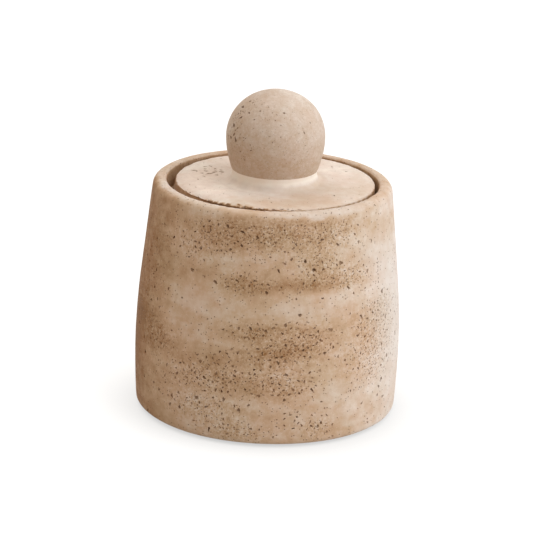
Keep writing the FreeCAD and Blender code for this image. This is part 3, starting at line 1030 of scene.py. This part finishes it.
def pinpricksGroup(look):
    group, given, out = newGroup("stonePinpricks", {"Cells": 800.0, "Size": 0.2, "Porous": 0.0}, ["Mask"])
    place = objectPlace(group)
    cells = addNode(group, "TexVoronoi", {"Vector": place, "Scale": given["Cells"]})
    ragged = noiseNode(group, Vector=place, Scale=2600.0, Detail=1.0)["Fac"]
    patches = noiseNode(group, Vector=place, Scale=95.0, Detail=3.0)["Fac"]
    chance = addNode(group, "SeparateColor", {0: cells.outputs["Color"]}).outputs[0]
    amount = mathNode(group, "MULTIPLY_ADD", patches, look["patchy"], given["Porous"])
    picked = mathNode(group, "LESS_THAN", chance, mathNode(group, "MULTIPLY", amount, look["share"]))
    width = mathNode(group, "MULTIPLY", given["Size"], mathNode(group, "ADD", ragged, look["least"]))
    inside = mathNode(group, "SUBTRACT", width, cells.outputs["Distance"])
    soft = mathNode(group, "MULTIPLY", inside, look["crisp"], clamped=True)
    feed(group, out, {"Mask": mathNode(group, "MULTIPLY", soft, picked)})
    return group


# Fine sawn and rubbed surface
def grainGroup():
    group, given, out = newGroup("stoneGrain", {"Fine": 1500.0, "Coarse": 260.0, "Mix": 0.5},
                                 ["Height", "Tone"])
    place = objectPlace(group)
    fine = noiseNode(group, Vector=place, Scale=given["Fine"], Detail=3.0, Roughness=0.65)["Fac"]
    coarse = noiseNode(group, Vector=place, Scale=given["Coarse"], Detail=3.0, Roughness=0.6)["Fac"]
    difference = mathNode(group, "SUBTRACT", coarse, fine)
    height = mathNode(group, "MULTIPLY_ADD", difference, given["Mix"], fine)
    feed(group, out, {"Height": height, "Tone": coarse})
    return group


strata = strataGroup()
pinpricks = pinpricksGroup(pinprickLook)
grain = grainGroup()

stoneTones = {
    "bark": linear(112, 76, 38),
    "umber": linear(142, 102, 62),
    "tan": linear(174, 143, 112),
    "sand": linear(194, 167, 141),
    "pale": linear(208, 190, 174),
    "cream": linear(222, 211, 203),
    "chalk": linear(243, 236, 228),
    # colour of the painted shade in the pores and of the deepest painted shade
    "hole": linear(104, 74, 50),
    # pale crystal flecks, partly painted glints where pore lips catch the light
    "fleckAndGlint": linear(234, 220, 204),
    "blush": linear(255, 249, 247),
    "dust": linear(180, 162, 148),
    "ash": linear(212, 205, 202),
}

# What all the stones share
stoneLook = {
    "stops": ((-0.45, "bark"), (0.0, "umber"), (0.28, "tan"), (0.52, "sand"), (0.76, "pale"), (1.0, "cream"),
              (1.25, "chalk")),
    "wide": {"Fine": 160.0, "Coarse": 40.0, "Mix": 0.8},
    "blush": {"From Min": 0.42, "From Max": 0.6},
    "ashOver": 0.35,
    "deepShadeUnder": -1.2,  # painted shade this deep is as dark as a hole
    "speckDepth": -2.2,
    "crumbDepth": 3.0,
    "bumpDistance": 0.00012,
    "specular": 0.35,
}


def stoneMaterial(name, look):
    material, tree = newMaterial(name)
    tones, shared = stoneTones, stoneLook

    def times(value, amount, clamped=False):
        return mathNode(tree, "MULTIPLY", value, amount, clamped=clamped)

    def less(value, amount):
        return mathNode(tree, "SUBTRACT", value, amount)

    def plus(value, amount, start):
        return mathNode(tree, "MULTIPLY_ADD", value, amount, start)

    def mask(label):
        return addNode(tree, "Attribute", attribute_name=label).outputs["Fac"]

    stainAndPaintedLight, hollowShade, porous = mask("stainAndPaintedLight"), mask("hollowShade"), mask("porous")
    layers = placeGroup(tree, strata, look["strata"])["Value"]
    fine = placeGroup(tree, grain, look["grain"])
    crumbs = placeGroup(tree, grain, look["crumbs"])["Height"]
    wide = placeGroup(tree, grain, shared["wide"])["Height"]
    specks = placeGroup(tree, pinpricks, dict(look["pinpricks"], Porous=porous))["Mask"]
    flecksAndGlints = placeGroup(tree, pinpricks, dict(look["flecksAndGlints"], Porous=porous))["Mask"]

    tone = plus(less(layers, 0.5), look["contrast"], look["brightness"])
    # the stain mask holds real clouds, wear and filler, and also painted light and shade on the jar, the
    # lid's edge, the knob and the bead
    tone = plus(stainAndPaintedLight, look["stainAndPaintedLight"], tone)
    tone = plus(less(fine["Tone"], 0.5), look["mottle"], tone)
    tone = plus(less(fine["Height"], 0.5), look["speckle"], tone)
    crumbling = times(less(crumbs, 0.5), porous)
    tone = plus(crumbling, look["crumble"], tone)
    tone = plus(porous, -look["porousTone"], tone)
    low, high = shared["stops"][0][0], shared["stops"][-1][0]
    scaled = mathNode(tree, "DIVIDE", less(tone, low), high - low)
    base = rampNode(tree, scaled, [((at - low) / (high - low), tones[key]) for at, key in shared["stops"]])
    rosy = mapRange(tree, wide, shared["blush"])
    base = colourMix(tree, rosy, base, colourMix(tree, 1.0, base, tones["blush"], "MULTIPLY"))
    base = colourMix(tree, times(less(stainAndPaintedLight, shared["ashOver"]), look["ash"], True), base, tones["ash"])
    base = colourMix(tree, look["dust"], base, tones["dust"])
    # pale flecks: partly crystal specks, partly painted glints at lit pore lips
    base = colourMix(tree, times(flecksAndGlints, look["fleckAndGlintTone"]), base, tones["fleckAndGlint"])
    # pinpricks and modelled pores are darkened towards the hole colour: painted shade in the pores
    specked, holed = times(specks, look["speckTone"]), times(hollowShade, look["holeTone"])
    dark = mathNode(tree, "MAXIMUM", specked, holed, clamped=True)
    # painted shade past that depth takes the hole colour
    deepShade = mathNode(tree, "MULTIPLY_ADD", stainAndPaintedLight, -1.0, shared["deepShadeUnder"], clamped=True)
    relief = plus(crumbling, shared["crumbDepth"], plus(specks, shared["speckDepth"], fine["Height"]))
    feed(tree, tree.nodes["Principled BSDF"], {
        "Base Color": colourMix(tree, mathNode(tree, "MAXIMUM", dark, deepShade), base, tones["hole"]),
        "Roughness": mapRange(tree, fine["Height"], look["rough"]),
        "Normal": bumpNode(tree, relief, look["bump"], shared["bumpDistance"]),
        "Specular IOR Level": shared["specular"],
    })
    return material


jarFinish = {
    "strata": {"Layers": 24.0, "Flatness": 4.5, "Bend": 0.012, "Clouds": 0.42, "Shift": 0.31},
    "grain": {"Fine": 1400.0, "Coarse": 230.0, "Mix": 0.45},
    "crumbs": {"Fine": 1900.0, "Coarse": 800.0, "Mix": 0.6},
    "pinpricks": {"Cells": 900.0, "Size": 0.26},
    "flecksAndGlints": {"Cells": 1150.0, "Size": 0.2},
    "contrast": 1.2, "brightness": 0.51, "stainAndPaintedLight": 0.55, "mottle": 0.45, "speckle": 0.3, "crumble": 2.0,
    "porousTone": 0.1, "ash": 1.2, "dust": 0.0, "fleckAndGlintTone": 0.55, "speckTone": 0.8, "holeTone": 0.9,
    "rough": {"To Min": 0.64, "To Max": 0.82},
    "bump": 0.75,
}
lidFinish = dict(
    jarFinish, strata={"Layers": 20.0, "Flatness": 1.0, "Bend": 0.01, "Clouds": 0.6, "Shift": 1.7}, ash=0.0,
    contrast=0.8, brightness=0.9, mottle=0.3, speckle=0.2, pinpricks={"Cells": 900.0, "Size": 0.16})
knobFinish = dict(
    jarFinish, strata={"Layers": 30.0, "Flatness": 2.5, "Bend": 0.01, "Clouds": 0.5, "Shift": 3.9}, ash=0.0,
    contrast=0.9, brightness=0.75, speckle=0.5, dust=0.4, crumble=3.0, speckTone=0.6,
    pinpricks={"Cells": 1100.0, "Size": 0.2})
# stone dust and resin rubbed smooth, no open pores
fillerFinish = dict(lidFinish, pinpricks={"Cells": 900.0, "Size": 0.02}, speckle=0.1, bump=0.35,
                    rough={"To Min": 0.54, "To Max": 0.72})
steelFinish = {
    "light": linear(190, 190, 192),
    "dark": linear(150, 150, 152),
    "rough": {"To Min": 0.26, "To Max": 0.42},
    "stretch": (1, 1, 30),
}
padFinish = {
    "light": linear(206, 202, 196),
    "dark": linear(188, 183, 176),
    "rough": 0.8,
    "grain": {"Fine": 2400.0, "Coarse": 500.0, "Mix": 0.4},
    "bump": (0.35, 0.0001),
}


def steelMaterial(name, look):
    material, tree = newMaterial(name)
    lined = addNode(tree, "Mapping", {"Vector": objectPlace(tree), "Scale": look["stretch"]})
    lines = noiseNode(tree, Vector=lined.outputs[0], Scale=400.0, Detail=2.0)["Fac"]
    feed(tree, tree.nodes["Principled BSDF"], {
        "Base Color": colourMix(tree, lines, look["dark"], look["light"]),
        "Roughness": mapRange(tree, lines, look["rough"]),
        "Metallic": 1,
    })
    return material


def padMaterial(name, look):
    material, tree = newMaterial(name)
    fine = placeGroup(tree, grain, look["grain"])["Height"]
    feed(tree, tree.nodes["Principled BSDF"], {
        "Base Color": colourMix(tree, fine, look["dark"], look["light"]),
        "Roughness": look["rough"],
        "Normal": bumpNode(tree, fine, *look["bump"]),
    })
    return material


def dress(piece, material):
    piece.data.materials.clear()
    piece.data.materials.append(material)


def dressNode(node, material):
    for slot in node.material_slots:
        slot.material = material


dress(jarStone, stoneMaterial("honedJarStone", jarFinish))
dress(lidStone, stoneMaterial("honedLidStone", lidFinish))
dress(knobStone, stoneMaterial("honedKnobStone", knobFinish))
dress(footBead, stoneMaterial("rubbedFiller", fillerFinish))
dressNode(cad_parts["knob_dowel"], steelMaterial("dowelSteel", steelFinish))
dressNode(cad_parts["foot_pads"], padMaterial("softPad", padFinish))
print("finishes on")

for piece, body, node, slot in ((jarStone, "jar", "jar_body", "jar_stone"),
                                (lidStone, "lid", "lid_plate", "lid_stone"),
                                (knobStone, "lid", "knob_ball", "knob_stone"),
                                (footBead, "lid", "knob_bead", "bead_filler")):
    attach(piece, body)
    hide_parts(node)


# Camera, fitted to the outline in the photograph
cameraLook = {
    "aim": (0, 0, 58.6),  # this point lands on the pixel below, in a 533 by 533 frame
    "pixel": (269.19, 279.1),
    "frame": 533,
    "distance": 1267.3,
    "elevation": 18.322,
    "roll": 2.179,
    "lens": 189.19,
    "sensor": 36.0,
    "clip": (0.05, 50),
}


def buildCamera(look):
    rise, roll = math.radians(look["elevation"]), math.radians(look["roll"])
    back = Vector((0, -math.cos(rise), math.sin(rise)))
    level = Vector((1, 0, 0))
    up = Vector((0, math.sin(rise), math.cos(rise)))
    right = level * math.cos(roll) + up * math.sin(roll)
    top = up * math.cos(roll) - level * math.sin(roll)
    aim = Vector(look["aim"])
    eye = aim + back * look["distance"]
    perPixel = look["distance"] * look["sensor"] / look["lens"] / look["frame"]
    half = look["frame"] / 2
    centre = aim - right * (look["pixel"][0] - half) * perPixel + top * (look["pixel"][1] - half) * perPixel
    back = (eye - centre).normalized()
    right = (right - back * right.dot(back)).normalized()
    turned = Matrix((right, back.cross(right), back)).transposed().to_4x4()
    data = bpy.data.cameras.new("photoCamera")
    data.lens = look["lens"]
    data.sensor_width = look["sensor"]
    data.clip_start, data.clip_end = look["clip"]
    camera = placeObject("photoCamera", data)
    camera.matrix_world = Matrix.Translation(eye * mm) @ turned
    bpy.context.scene.camera = camera


# Soft light from the right and from above, a weak warm fill all round
lightLook = {
    "suns": (
        {"name": "keyLight", "towards": (0.78, -0.28, 0.56), "strength": 2.1, "softness": 65,
         "colour": (0.91, 0.965, 1.0)},
        {"name": "topLight", "towards": (-0.15, 0.35, 0.93), "strength": 1.2, "softness": 60,
         "colour": (1.0, 0.98, 0.95)},
    ),
    "fill": {"Color": (1.0, 0.82, 0.61, 1), "Strength": 0.44},
}
white = (1, 1, 1, 1)


def mixedShader(tree, unseen, seen):
    # camera, glossy and transmission rays see the second shader, the rest the first
    path = addNode(tree, "LightPath").outputs
    some = mathNode(tree, "ADD", path["Is Camera Ray"], path["Is Glossy Ray"])
    rays = mathNode(tree, "ADD", some, path["Is Transmission Ray"], clamped=True)
    inputs = {0: rays, 1: unseen.outputs[0], 2: seen.outputs[0]}
    return addNode(tree, "MixShader", inputs).outputs[0]


def buildLight(look):
    for sun in look["suns"]:
        data = bpy.data.lights.new(sun["name"], "SUN")
        data.energy = sun["strength"]
        data.color = sun["colour"]
        data.angle = math.radians(sun["softness"])
        lamp = placeObject(sun["name"], data)
        lamp.rotation_euler = Vector(sun["towards"]).to_track_quat("Z", "Y").to_euler()
    world = bpy.data.worlds.new("studio")
    world.use_nodes = True
    bpy.context.scene.world = world
    tree = world.node_tree
    tree.nodes.clear()
    fill = addNode(tree, "Background", look["fill"])
    plain = addNode(tree, "Background", {"Color": white, "Strength": 1.0})
    addNode(tree, "OutputWorld", {0: mixedShader(tree, fill, plain)})


# White floor that keeps a soft shadow close round the foot
floorLook = {
    "half": 6.0,  # metres
    "glow": 0.9,  # white seen by the camera before any light falls on it
    "shade": (0.2, 0.2, 0.2, 1),
    "plain": (0.8, 0.8, 0.8, 1),
    "near": 0.024,  # metres from the foot where the shadow has gone
    "deep": 0.38,
}


def buildFloor(look):
    mesh = bpy.data.meshes.new("studioFloor")
    half = look["half"]
    corners = [(-half, -half, 0), (half, -half, 0), (half, half, 0), (-half, half, 0)]
    mesh.from_pydata(corners, [], [(0, 1, 2, 3)])
    floor = placeObject("studioFloor", mesh)
    material, tree = newMaterial("whiteFloor")
    tree.nodes.clear()
    clear = addNode(tree, "AmbientOcclusion", {"Distance": look["near"]}).outputs["AO"]
    deep, glow = look["deep"], look["glow"]
    dimmed = mathNode(tree, "MULTIPLY_ADD", clear, deep * glow, (1 - deep) * glow)
    lit = addNode(tree, "Emission", {"Color": white, "Strength": dimmed})
    shade = addNode(tree, "BsdfDiffuse", {"Color": look["shade"]})
    seen = addNode(tree, "AddShader", {0: lit.outputs[0], 1: shade.outputs[0]})
    plain = addNode(tree, "BsdfDiffuse", {"Color": look["plain"]})
    addNode(tree, "OutputMaterial", {0: mixedShader(tree, plain, seen)})
    mesh.materials.append(material)


buildCamera(cameraLook)
buildLight(lightLook)
buildFloor(floorLook)
bpy.context.scene.view_settings.view_transform = "Standard"
print("stage set")

bpy.context.view_layer.update()
